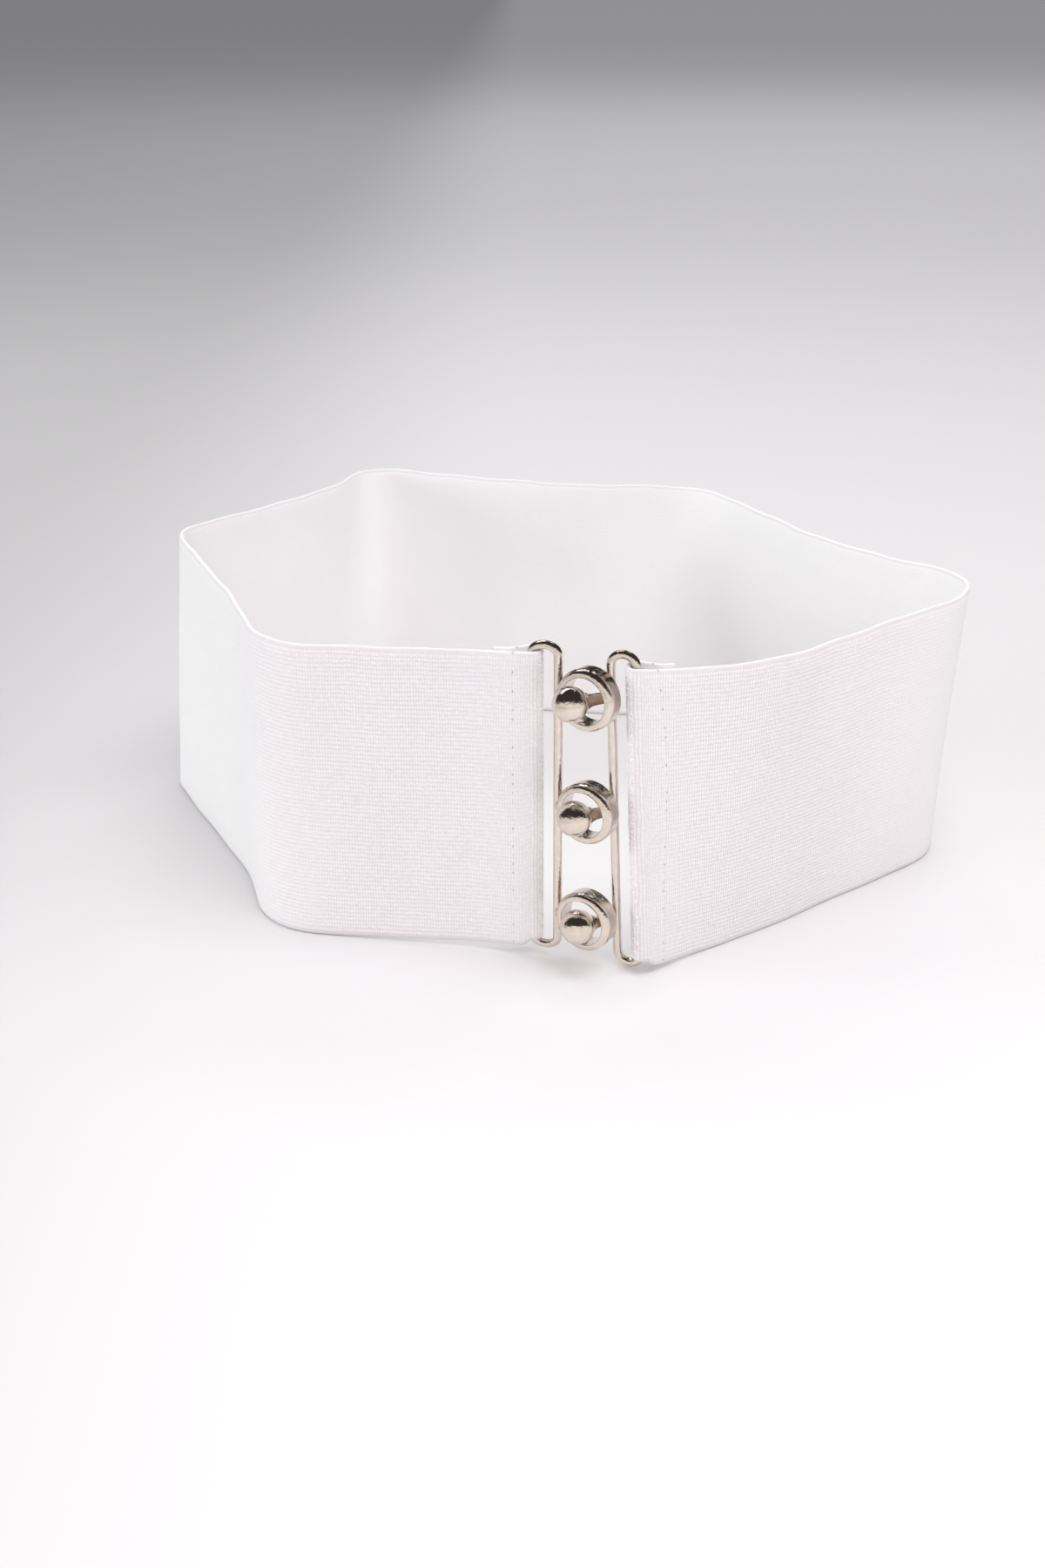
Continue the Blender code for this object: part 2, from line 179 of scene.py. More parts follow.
def band_route(fold):
    """Both edges of the band from flap to flap, seen from above, and the distance from each bar."""
    edges = []
    for height, lean in ((0.0, 0.0), (BAND_WIDTH, 1.0)):
        corners = [bar_at(LEFT_BAR_LOW, LEFT_BAR_RISE, height + END_LIFT + LEFT_END_RAISED)]
        for row in FOLDS:
            corners.append(
                np.array((
                    row.x * LOOP_WIDTH + lean * row.lean_x * BAND_WIDTH,
                    row.y * LOOP_DEPTH + lean * row.lean_y * BAND_WIDTH,
                ))
            )
        corners.append(bar_at(RIGHT_BAR_LOW, RIGHT_BAR_RISE, height + END_LIFT))
        corners = np.array(corners)
        route = rounded_route(corners, [row.round * LOOP_WIDTH for row in FOLDS])
        length = np.linalg.norm(np.diff(route, axis=0), axis=1).sum()
        reach = fold[-1, 0]
        middle = np.linspace(reach, length - reach, PANEL_STATIONS)[1:-1]
        from_left = np.concatenate([fold[:, 0], middle, length - fold[::-1, 0]])
        offset = np.concatenate([fold[:, 1], np.zeros(len(middle)), fold[::-1, 1]])
        spots, outward = along_route(route, from_left)
        edges.append(spots + outward * offset[:, None] + CLASP_AT)
        if height == 0.0:
            panels = np.linalg.norm(np.diff(corners, axis=0), axis=1)[[0, -1]]
            low_left, low_length = from_left, length
    lift = (END_LIFT + LEFT_END_RAISED) * np.clip(1 - low_left / panels[0], 0, 1) ** 2
    lift += END_LIFT * np.clip(1 - (low_length - low_left) / panels[1], 0, 1) ** 2
    near_bar = np.minimum(low_left, low_length - low_left)
    rise = ROUND_END_RISE * np.clip(1 - near_bar / FOLD_RADIUS, 0, 1)
    low = np.column_stack([edges[0], lift])
    high = np.column_stack([edges[1], lift + BAND_WIDTH])
    return low + np.array((0, 0, 1)) * rise[:, None], high, near_bar


def wall_section(rows, turns):
    """Closed outline of the wall: up its outer face, over the selvedge, down the inner face, and under."""
    half = BAND_THICKNESS / 2
    up = np.linspace(half, BAND_WIDTH - half, rows)
    over = np.linspace(math.pi / 2, -math.pi / 2, turns + 2)[1:-1]
    rise = half * np.cos(over)
    face = np.full(rows, half)
    height = np.concatenate([up, BAND_WIDTH - half + rise, up[::-1], half - rise])
    side = np.concatenate([face, half * np.sin(over), -face, -half * np.sin(over)])
    return height, side


def smooth_mesh(name, points, faces):
    """A smooth-shaded mesh object at the origin."""
    mesh = bpy.data.meshes.new(name)
    mesh.from_pydata(points.reshape(-1, 3).tolist(), [], faces)
    mesh.shade_smooth()
    piece = bpy.data.objects.new(name, mesh)
    bpy.context.scene.collection.objects.link(piece)
    return piece


def grid_faces(rows, columns, wrap_rows=False, wrap_columns=False):
    """Quads of a grid of points numbered row by row, wrapped round where asked."""
    index = np.arange(rows * columns).reshape(rows, columns)
    if wrap_rows:
        index = np.concatenate([index, index[:1]])
    if wrap_columns:
        index = np.concatenate([index, index[:, :1]], axis=1)
    quads = np.stack([index[:-1, :-1], index[:-1, 1:], index[1:, 1:], index[1:, :-1]], axis=-1)
    return quads.reshape(-1, 4)


fold = end_fold()
band_low, band_high, band_near_bar = band_route(fold)
band_height, band_side = wall_section(FACE_ROWS, SELVEDGE_ROWS)
strip_step = np.linalg.norm(np.diff(band_low, axis=0), axis=1)
strip_along = np.concatenate([[0.0], np.cumsum(strip_step)])
strip_length = strip_along[-1]
stations = len(strip_along)

# Distance along the strip from each fold's crest, and how far that is from the stitching
crest = int(np.argmin(fold[:, 0]))
crest_left, crest_right = strip_along[crest], strip_along[stations - 1 - crest]
share = np.clip(band_height / BAND_WIDTH, 0, 1)
seam_gap = np.empty((len(share), stations))
for end, crest_spot in enumerate((crest_left, crest_right)):
    heights, distances = np.array(SEAM_LINES[end]).T
    line = np.interp(share, heights, distances)[:, None]
    gap = np.abs(strip_along[None, :] - crest_spot) - line
    half_of_strip = (strip_along < strip_length / 2) == (end == 0)
    seam_gap[:, half_of_strip] = gap[:, half_of_strip]

# The wall: slow unevenness along the panels, a wavering edge, the seams pulled in, and each flap a
# little out of line with its panel
Wave = namedtuple("Wave", "height along up phase")
PANEL_WAVES = (Wave(0.00016, 210, 60, 0.0), Wave(0.00012, 92, -95, 1.3))
EDGE_WAVES = (Wave(0.00012, 330, 0, 0.0), Wave(0.00010, 147, 0, 0.7))
WAVES_FROM = 0.012
WAVES_GROW_OVER = 0.02
SEAM_PULL = 0.16
SEAM_PULL_REACH = 0.0006
FLAP_SLIP = (0.0005, 0.0008)
FLAP_SLIP_OVER = 0.004


def waves(table, along, up):
    """Sum of height * sin(along * a + up * b + phase) over a table of waves."""
    return sum(wave.height * np.sin(along * wave.along + up * wave.up + wave.phase) for wave in table)


tangent = np.gradient(band_low + (band_high - band_low) / 2, axis=0)[:, :2]
tangent /= np.linalg.norm(tangent, axis=1)[:, None]
outward = np.column_stack([-tangent[:, 1], tangent[:, 0], np.zeros(stations)])
along, up = np.meshgrid(strip_along, band_height)
settled = np.clip((band_near_bar - WAVES_FROM) / WAVES_GROW_OVER, 0, 1)
pulled = SEAM_PULL * np.exp(-((seam_gap / SEAM_PULL_REACH) ** 2))
side = band_side[:, None] * (1 - pulled) + waves(PANEL_WAVES, along, up) * settled
flap_slip = FLAP_SLIP[0] * np.clip((crest_left - along) / FLAP_SLIP_OVER, 0, 1)
flap_slip += FLAP_SLIP[1] * np.clip((along - crest_right) / FLAP_SLIP_OVER, 0, 1)
points = band_low + (band_high - band_low) * (up / BAND_WIDTH)[..., None] + outward * side[..., None]
points[..., 2] += waves(EDGE_WAVES, along, up) * settled * (up / BAND_WIDTH) + flap_slip

rows = len(band_height)
faces = grid_faces(rows, stations, wrap_rows=True)[:, ::-1].tolist()
faces.append(list(range(0, rows * stations, stations))[::-1])
faces.append([k * stations + stations - 1 for k in range(rows)])
band = smooth_mesh("elastic_strip", points, faces)

# Its weave runs with the strip: u along it and v round the wall's outline, both in metres
around = np.concatenate([band_height[: rows // 2], 2 * BAND_WIDTH - band_height[rows // 2 :]])
around = np.append(around, 2 * BAND_WIDTH + band_height[0])
corner_row = np.repeat(np.arange(rows), stations - 1)[:, None] + np.array((1, 1, 0, 0))
corner_column = np.tile(np.arange(stations - 1), rows)[:, None] + np.array((0, 1, 1, 0))
weave_uv = np.stack([strip_along[corner_column], around[corner_row]], axis=-1).reshape(-1, 2)
cap_uv = [(strip_along[0], v) for v in around[:-1][::-1]] + [(strip_along[-1], v) for v in around[:-1]]
weave_layer = band.data.uv_layers.new(name="weave")
weave_layer.data.foreach_set("uv", np.concatenate([weave_uv, cap_uv]).ravel())
seam_layer = band.data.attributes.new("seam_gap", "FLOAT", "POINT")
seam_layer.data.foreach_set("value", seam_gap.ravel())
from_fold = np.minimum(np.abs(along - crest_left), np.abs(along - crest_right))
fold_layer = band.data.attributes.new("from_fold", "FLOAT", "POINT")
fold_layer.data.foreach_set("value", from_fold.ravel())


def maths(nodes, links, operation, *values, clamp=False):
    """A Math node fed with numbers or sockets, and its output."""
    node = nodes.new("ShaderNodeMath")
    node.operation = operation
    node.use_clamp = clamp
    for socket, value in zip(node.inputs, values):
        if isinstance(value, (int, float)):
            socket.default_value = value
        else:
            links.new(value, socket)
    return node.outputs[0]


def mixed(nodes, links, factor, first, second):
    """A colour mix between two colours or sockets."""
    node = nodes.new("ShaderNodeMix")
    node.data_type = "RGBA"
    links.new(factor, node.inputs["Factor"])
    for socket, value in ((node.inputs["A"], first), (node.inputs["B"], second)):
        if isinstance(value, tuple):
            socket.default_value = (*value, 1.0)
        else:
            links.new(value, socket)
    return node.outputs["Result"]


def new_material(name, colour, roughness):
    """A material with its Principled shader, nodes and links."""
    material = bpy.data.materials.new(name)
    material.use_nodes = True
    nodes, links = material.node_tree.nodes, material.node_tree.links
    shader = nodes["Principled BSDF"]
    shader.inputs["Base Color"].default_value = (*colour, 1.0)
    shader.inputs["Roughness"].default_value = roughness
    return material, shader, nodes, links


# The weave: how far apart its parts lie, how deep each is at a fold and on a panel, how far from the fold it
# changes from one to the other, and where it fades; as it fades, far along the panels and on the inner face,
# the yarn's colour turns to a plain grey, which is painted shade
RIB_PITCH = 0.00107
COLUMN_PITCH = 0.00067
BEAD_PITCH = 0.00058
RIB_DEPTH = (0.15, 0.68)
COLUMN_DEPTH = (0.74, 0.46)
BEAD_DEPTH = (0.54, 0.32)
OPENS_OVER = (0.002, 0.018)
FADES_OVER = (0.050, 0.105)
FADED_WEAVE_AND_SHADE = 0.30
INNER_FACE_WEAVE_AND_SHADE = 0.45
SELVEDGE_OVER = (0.0004, 0.0013)
STITCH_PITCH = 0.0023
NEEDLE_HOLE_HALF_WIDTH = 0.00026
NEEDLE_HOLE_HALF_HEIGHT = 0.00040
YARN = (0.98, 0.95, 0.96)
# Painted shade: the darker colour given to the low parts of the weave
YARN_PAINTED_SHADE = (0.62, 0.56, 0.58)
SELVEDGE = (0.75, 0.735, 0.74)
# Painted shade: the plain grey that the far panels and the inner face turn to
FAR_YARN_PAINTED_SHADE = (0.885, 0.885, 0.88)
NEEDLE_HOLE = (0.50, 0.45, 0.47)


def woven_elastic():
    """Weave from the strip's own measures: ribs along it, columns of small beads of yarn across them.

    Height = column * bead * rib, each 1 - depth (1 - sqrt|sin(pi n)|), with a random height for each bead
    and every other column moved by half a bead. Where the weave is low its colour is darkened as painted
    shade.
    """
    material, shader, nodes, links = new_material("woven_elastic", YARN, 0.85)
    shader.inputs["Sheen Weight"].default_value = 0.15
    shader.inputs["Sheen Roughness"].default_value = 0.4
    shader.inputs["Specular IOR Level"].default_value = 0.25

    def calc(operation, *values, clamp=False):
        return maths(nodes, links, operation, *values, clamp=clamp)

    def measure(name):
        node = nodes.new("ShaderNodeAttribute")
        node.attribute_name = name
        return node.outputs["Fac"]

    def between(value, span, ends):
        node = nodes.new("ShaderNodeMapRange")
        links.new(value, node.inputs["Value"])
        for name, number in zip(("From Min", "From Max", "To Min", "To Max"), (*span, *ends)):
            node.inputs[name].default_value = number
        return node.outputs[0]

    def chance(x, y):
        pair = nodes.new("ShaderNodeCombineXYZ")
        links.new(x, pair.inputs["X"])
        links.new(y, pair.inputs["Y"])
        node = nodes.new("ShaderNodeTexWhiteNoise")
        node.noise_dimensions = "2D"
        links.new(pair.outputs[0], node.inputs["Vector"])
        return node.outputs["Value"]

    def ridge(phase):
        return calc("SQRT", calc("ABSOLUTE", calc("SINE", calc("MULTIPLY", phase, math.pi))))

    uv = nodes.new("ShaderNodeUVMap")
    uv.uv_map = "weave"
    parts = nodes.new("ShaderNodeSeparateXYZ")
    links.new(uv.outputs["UV"], parts.inputs[0])
    drift = nodes.new("ShaderNodeTexNoise")
    drift.inputs["Scale"].default_value = 170.0
    drift.inputs["Detail"].default_value = 3.0
    links.new(uv.outputs["UV"], drift.inputs["Vector"])
    wander = calc("SUBTRACT", drift.outputs["Fac"], 0.5)
    column = calc("MULTIPLY_ADD", wander, 1.2, calc("DIVIDE", parts.outputs["X"], COLUMN_PITCH))
    rib = calc("MULTIPLY_ADD", wander, 0.6, calc("DIVIDE", parts.outputs["Y"], RIB_PITCH))
    column_number = calc("FLOOR", column)
    moved_up = calc("FRACT", calc("MULTIPLY", column_number, 0.5))
    bead = calc("MULTIPLY_ADD", wander, 1.3, calc("DIVIDE", parts.outputs["Y"], BEAD_PITCH))
    bead = calc("ADD", moved_up, bead)

    by_fold = measure("from_fold")
    inner_face = between(parts.outputs["Y"], (BAND_WIDTH, BAND_WIDTH + 0.001), (1.0, INNER_FACE_WEAVE_AND_SHADE))
    near = calc("MULTIPLY", inner_face, between(by_fold, FADES_OVER, (1.0, FADED_WEAVE_AND_SHADE)))

    def relief(phase, depths):
        depth = calc("MULTIPLY", near, between(by_fold, OPENS_OVER, depths))
        return calc("SUBTRACT", 1.0, calc("MULTIPLY", depth, calc("SUBTRACT", 1.0, ridge(phase))))

    columns = relief(column, COLUMN_DEPTH)
    beads = relief(bead, BEAD_DEPTH)
    ribs = relief(rib, RIB_DEPTH)
    crossing = calc("MULTIPLY", near, calc("SUBTRACT", chance(column_number, calc("FLOOR", bead)), 0.5))
    grown = calc("MULTIPLY_ADD", crossing, 0.24, 1.0)
    weave = calc("MULTIPLY", calc("MULTIPLY", ribs, columns), calc("MULTIPLY", beads, grown))

    to_edge = calc("MODULO", parts.outputs["Y"], BAND_WIDTH)
    to_edge = calc("MINIMUM", to_edge, calc("SUBTRACT", BAND_WIDTH, to_edge))
    body = between(to_edge, SELVEDGE_OVER, (0.0, 1.0))

    stitch = calc("DIVIDE", parts.outputs["Y"], STITCH_PITCH)
    stitch_number = calc("FLOOR", stitch)
    across = calc("DIVIDE", measure("seam_gap"), NEEDLE_HOLE_HALF_WIDTH)
    upward = calc("SUBTRACT", calc("FRACT", stitch), 0.5)
    upward = calc("MULTIPLY", upward, STITCH_PITCH / NEEDLE_HOLE_HALF_HEIGHT)
    spread = calc("ADD", calc("POWER", across, 2.0), calc("POWER", upward, 2.0))
    hole = calc("SUBTRACT", 1.0, spread, clamp=True)
    open_hole = calc("MULTIPLY", chance(stitch_number, calc("ADD", stitch_number, 7.0)), 1.6)
    hole = calc("MULTIPLY", hole, calc("SUBTRACT", open_hole, 0.35, clamp=True))

    # Painted shade: the low parts of the weave are coloured darker, in place of the shade that falls in its
    # hollows
    low = calc("MULTIPLY", calc("SUBTRACT", 1.0, weave, clamp=True), 0.75)
    colour = mixed(nodes, links, low, YARN, YARN_PAINTED_SHADE)
    # Painted shade: far from the folds and on the inner face the colour turns to a plain grey as the weave
    # fades
    colour = mixed(nodes, links, near, FAR_YARN_PAINTED_SHADE, colour)
    colour = mixed(nodes, links, body, SELVEDGE, colour)
    colour = mixed(nodes, links, hole, colour, NEEDLE_HOLE)
    links.new(colour, shader.inputs["Base Color"])

    height = calc("MULTIPLY", weave, calc("MULTIPLY_ADD", body, 0.8, 0.2))
    height = calc("SUBTRACT", height, hole)
    bump = nodes.new("ShaderNodeBump")
    bump.inputs["Strength"].default_value = 0.8
    bump.inputs["Distance"].default_value = 0.00018
    links.new(height, bump.inputs["Height"])
    links.new(bump.outputs[0], shader.inputs["Normal"])
    return material


band.data.materials.append(woven_elastic())
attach(band, "root")
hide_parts("elastic_band")


# Yarn turns at the folds
# Where the strip bends round each bar its weft yarns stand out as rows of small soft beads, which
# make the fold's edge fuzzy. They are part of the woven strip.
YARN_BEAD = (0.00030, 0.00030, 0.00027)
YARN_SUNK = (0.00006, 0.00022)
YARN_GROWTH = (0.75, 1.15)
YARN_ROW = 126

# How many stations each row lies from the crest, and the seed of its scatter
YARN_ROWS = ((-4, 3), (-2, 5), (0, 7), (2, 11), (4, 13))


def outward_at(station):
    """Direction out of the wall's outer face at a station, seen from above."""
    across_wall = (points[0, station] - band_low[station])[:2]
    return across_wall / np.linalg.norm(across_wall)


def bead_row(station, count, seed):
    """Small balls on the wall's outer face along one station of the strip, each a little out of line."""
    rng = np.random.default_rng(seed)
    share = (np.arange(count) + 0.5 + rng.uniform(-0.3, 0.3, count)) / count
    face = points[:FACE_ROWS, station]
    level = np.linspace(face[0, 2] + 0.0002, face[-1, 2] - 0.0002, count) + (share * count % 1 - 0.5) * 0.0002
    middles = np.stack([np.interp(level, face[:, 2], face[:, k]) for k in (0, 1)] + [level], axis=1)
    middles[:, :2] -= outward_at(station) * rng.uniform(*YARN_SUNK, count)[:, None]
    lat = np.linspace(-math.pi / 2, math.pi / 2, 7)[1:-1, None]
    lon = np.linspace(0, 2 * math.pi, 8, endpoint=False)
    unit = np.stack([
        np.cos(lat) * np.cos(lon),
        np.cos(lat) * np.sin(lon),
        np.sin(lat) * np.ones_like(lon),
    ], axis=-1).reshape(-1, 3)
    unit = np.concatenate([unit, [(0, 0, -1), (0, 0, 1)]]) * YARN_BEAD
    return middles[:, None, :] + unit * rng.uniform(*YARN_GROWTH, count)[:, None, None]


bead_shells = []
for end_crest in (crest, stations - 1 - crest):
    for step, seed in YARN_ROWS:
        bead_shells.append(bead_row(end_crest + step, YARN_ROW, seed))
bead_points = np.concatenate(bead_shells)
unit_faces = grid_faces(5, 8, wrap_columns=True).tolist()
unit_faces += [[40, (k + 1) % 8, k] for k in range(8)] + [[32 + k, 32 + (k + 1) % 8, 41] for k in range(8)]
bead_faces = []
bead_size = bead_points.shape[1]
for first in range(0, len(bead_points) * bead_size, bead_size):
    bead_faces += [[first + k for k in face] for face in unit_faces]
yarn_beads = smooth_mesh("fold_yarn", bead_points, bead_faces)
soft_yarn, yarn_shader, yarn_nodes, yarn_links = new_material("soft_yarn", YARN, 0.9)
yarn_shader.inputs["Sheen Weight"].default_value = 0.2
yarn_place = yarn_nodes.new("ShaderNodeTexCoord")
yarn_fibre = yarn_nodes.new("ShaderNodeTexNoise")
yarn_fibre.inputs["Scale"].default_value = 4200.0
yarn_links.new(yarn_place.outputs["Object"], yarn_fibre.inputs["Vector"])
yarn_tone = mixed(yarn_nodes, yarn_links, yarn_fibre.outputs["Fac"], (0.94, 0.89, 0.91), (1.0, 0.97, 0.98))
yarn_links.new(yarn_tone, yarn_shader.inputs["Base Color"])
yarn_beads.data.materials.append(soft_yarn)
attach(yarn_beads, "root")


# Clasp, left half: frame with three rings
# One zinc casting, plated pale nickel: a long loop of round wire whose far side is hidden in the fold
# of the band, and three short deep rings beside its near side, each held by a small lump of metal.
WIRE_RADIUS = 0.00105
FRAME_HEIGHT = 0.0805
FRAME_WIDTH = 0.0084
FRAME_PITCH = FRAME_WIDTH - 2 * WIRE_RADIUS
LEFT_END_RISE = 0.0021
RING_RADIUS = 0.0074
RING_BORE_RADIUS = 0.0056
RING_DEPTH = 0.0050
RING_STEP = 0.0002
RING_ROOT = 0.00815
RING_HEIGHTS = (-0.0288, -0.0008, 0.0272)
RINGS_BEND = math.radians(-14.0)
LUMP = (0.00125, 0.0014, 0.0017)
LUMP_FROM_RING = 0.0001
LEFT_FRAME = Matrix((
    (0.939681, 0.342017, -0.004969, -0.006757 + CLASP_AT[0]),
    (-0.341986, 0.939685, 0.006211, 0.004557 + CLASP_AT[1]),
    (0.006793, -0.004137, 0.999968, 0.04125),
    (0.0, 0.0, 0.0, 1.0),
))


def closed_tube(path, radius, sides):
    """Circles carried along a closed flat path in local XZ: path + radius (cos a n + sin a y)."""
    ahead, behind = np.roll(path, -1, axis=0), np.roll(path, 1, axis=0)
    tangent = ahead - behind
    tangent /= np.linalg.norm(tangent, axis=1)[:, None]
    normal = np.stack([tangent[:, 1], -tangent[:, 0]], axis=1)
    angle = np.linspace(0, 2 * math.pi, sides, endpoint=False)
    x = path[:, 0] + radius * np.cos(angle)[:, None] * normal[:, 0]
    z = path[:, 1] + radius * np.cos(angle)[:, None] * normal[:, 1]
    y = np.repeat(radius * np.sin(angle)[:, None], len(path), axis=1)
    return np.stack([x, y, z], axis=-1)


def wire_loop(side, end_rise):
    """Two straight bars and two half ellipses: the middle line of the frame's wire, local x and z."""
    radius = FRAME_PITCH / 2
    straight = FRAME_HEIGHT / 2 - FRAME_WIDTH / 2
    turn = np.linspace(0, math.pi, 33)
    top = np.stack([radius * np.cos(turn), straight + end_rise * np.sin(turn)], axis=1)
    down = np.linspace(straight, -straight, 42)[1:-1]
    left_bar = np.stack([np.full(40, -radius), down], axis=1)
    loop = np.concatenate([top, left_bar, -top, -left_bar])
    return loop + (side * radius, 0.0)


def ring_section(count):
    """The ring's wall: a front that rounds off to the outside, a parting step, a soft back.

    Front: width sin(t)^0.8 across, round_off (1 - cos(t)^0.8) deep.
    """
    soft, edge, round_off = 0.0004, 0.00018, 0.0015
    corner = np.linspace(0, math.pi / 2, 5)[:-1]
    inside = np.stack([edge - edge * np.cos(corner), edge - edge * np.sin(corner)], axis=1)
    turn = np.linspace(0, math.pi / 2, count)
    width = RING_RADIUS - RING_BORE_RADIUS - edge
    outside = np.stack([edge + width * np.sin(turn) ** 0.8, round_off * (1 - np.cos(turn) ** 0.8)], axis=1)
    front = np.concatenate([inside, outside]) + (RING_BORE_RADIUS, -RING_DEPTH / 2)
    step = np.array((
        (RING_RADIUS, -0.00035),
        (RING_RADIUS - 0.00004, -0.00018),
        (RING_RADIUS - RING_STEP * 0.9, -0.0001),
        (RING_RADIUS - RING_STEP, 0.00006),
    ))
    back_turn = np.linspace(0, math.pi / 2, 6)
    outer, inner = RING_RADIUS - RING_STEP - soft, RING_BORE_RADIUS + soft
    deep = RING_DEPTH / 2 - soft
    back = np.stack([outer + soft * np.cos(back_turn), deep + soft * np.sin(back_turn)], axis=1)
    bore = np.stack([inner - soft * np.sin(back_turn), deep + soft * np.cos(back_turn)], axis=1)
    return np.concatenate([front, step, back, bore])


def turned(section, steps):
    """A section of (radius, depth) turned about local Y."""
    angle = np.linspace(0, 2 * math.pi, steps, endpoint=False)[:, None]
    x = section[:, 0] * np.cos(angle)
    z = section[:, 0] * np.sin(angle)
    return np.stack([x, np.broadcast_to(section[:, 1], x.shape), z], axis=-1)


def ball(radius, rows, columns):
    """Latitude and longitude grid of a unit ball without its poles, which are added as two points."""
    lat = np.linspace(-math.pi / 2, math.pi / 2, rows + 2)[1:-1, None]
    lon = np.linspace(0, 2 * math.pi, columns, endpoint=False)
    x = radius * np.cos(lat) * np.cos(lon)
    y = radius * np.sin(lat) * np.ones_like(lon)
    z = radius * np.cos(lat) * np.sin(lon)
    points = np.stack([x, y, z], axis=-1).reshape(-1, 3)
    return np.concatenate([points, [(0, -radius, 0), (0, radius, 0)]])


def ball_faces(rows, columns):
    """Quads of the grid and the triangles round both poles."""
    faces = grid_faces(rows, columns, wrap_columns=True).tolist()
    south, north = rows * columns, rows * columns + 1
    ring = np.arange(columns)
    last = (rows - 1) * columns
    faces += np.stack([np.full(columns, south), np.roll(ring, -1), ring], axis=1).tolist()
    faces += np.stack([last + ring, last + np.roll(ring, -1), np.full(columns, north)], axis=1).tolist()
    return faces


def moved(points, place):
    """Points carried by a 4 by 4 place."""
    place = np.array(place)
    return points @ place[:3, :3].T + place[:3, 3]


def outward_mesh(name, shells):
    """One mesh of closed shells, each turned so that its faces look out."""
    points, faces, first = [], [], 0
    for shell_points, shell_faces in shells:
        shell_points = shell_points.reshape(-1, 3)
        corners = [np.array([face[:3] for face in shell_faces])[:, k] for k in range(3)]
        a, b, c = (shell_points[k] - shell_points.mean(axis=0) for k in corners)
        last = np.array([face[-1] for face in shell_faces])
        d = shell_points[last] - shell_points.mean(axis=0)
        volume = (a * np.cross(b, c)).sum() + (a * np.cross(c, d)).sum()
        if volume < 0:
            shell_faces = [list(face)[::-1] for face in shell_faces]
        points.append(shell_points)
        faces += [[first + k for k in face] for face in shell_faces]
        first += len(shell_points)
    return smooth_mesh(name, np.concatenate(points), faces)


def ring_place(height):
    """Local place of a ring: beside the bar, bent forward a little from the frame's plane."""
    return Matrix.Rotation(RINGS_BEND, 4, "Z") @ Matrix.Translation((RING_ROOT, 0, height))


def plated_nickel():
    """Polished plating over a slightly uneven casting: fine dimples, faint haze and warm tone."""
    material, shader, nodes, links = new_material("plated_nickel", (0.84, 0.76, 0.69), 0.12)
    shader.inputs["Metallic"].default_value = 1.0
    place = nodes.new("ShaderNodeTexCoord")

    def noise(scale, detail):
        node = nodes.new("ShaderNodeTexNoise")
        node.inputs["Scale"].default_value = scale
        node.inputs["Detail"].default_value = detail
        links.new(place.outputs["Object"], node.inputs["Vector"])
        return node.outputs["Fac"]

    haze = noise(700.0, 3.0)
    dimples = noise(2700.0, 3.0)
    flow = noise(520.0, 2.0)
    links.new(maths(nodes, links, "MULTIPLY_ADD", haze, 0.18, 0.01), shader.inputs["Roughness"])
    tone = mixed(nodes, links, haze, (0.86, 0.775, 0.695), (0.68, 0.60, 0.53))
    links.new(tone, shader.inputs["Base Color"])
    height = maths(nodes, links, "MULTIPLY_ADD", flow, 2.4, dimples)
    bump = nodes.new("ShaderNodeBump")
    bump.inputs["Strength"].default_value = 1.0
    bump.inputs["Distance"].default_value = 0.00006
    links.new(height, bump.inputs["Height"])
    links.new(bump.outputs[0], shader.inputs["Normal"])
    return material


nickel = plated_nickel()
path = wire_loop(-1, LEFT_END_RISE)
wire = moved(closed_tube(path, WIRE_RADIUS, 28), LEFT_FRAME)
shells = [(wire, grid_faces(28, len(path), True, True).tolist())]
section = ring_section(25)
for height in RING_HEIGHTS:
    place = LEFT_FRAME @ ring_place(height)
    ring = turned(section, 96)
    shells.append((moved(ring, place), grid_faces(96, len(section), True, True).tolist()))
    lump = ball(1.0, 14, 24) * LUMP
    lump_place = place @ Matrix.Translation((-RING_RADIUS - LUMP_FROM_RING, 0.0, 0.0))
    shells.append((moved(lump, lump_place), ball_faces(14, 24)))
ring_half = outward_mesh("clasp_ring_half", shells)
ring_half.data.materials.append(nickel)
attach(ring_half, "root")
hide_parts("ring_frame")


# Clasp, right half: frame with three balls
# The other casting of the same metal: a wire loop of the same size, and three flat arms that leave its
# near side behind the rings, run forward through them and end in the balls that lock the belt.
RIGHT_END_RISE = 0.0028
BALL_RADIUS = 0.00415
BALL_PROUD = 0.0047
BALL_ASIDE = 0.0007
ARM_HEIGHT = 0.0026
ARM_THICKNESS = 0.0013
ARM_FLARE = 0.5
ARM_FLARE_REACH = 0.0007
ARM_SQUARENESS = 0.35
RIGHT_FRAME = Matrix((
    (0.905386, 0.42261, -0.040956, 0.006244 + CLASP_AT[0]),
    (-0.422472, 0.906291, 0.012411, 0.000673 + CLASP_AT[1]),
    (0.042363, 0.006066, 0.999084, 0.04025),
    (0.0, 0.0, 0.0, 1.0),
))


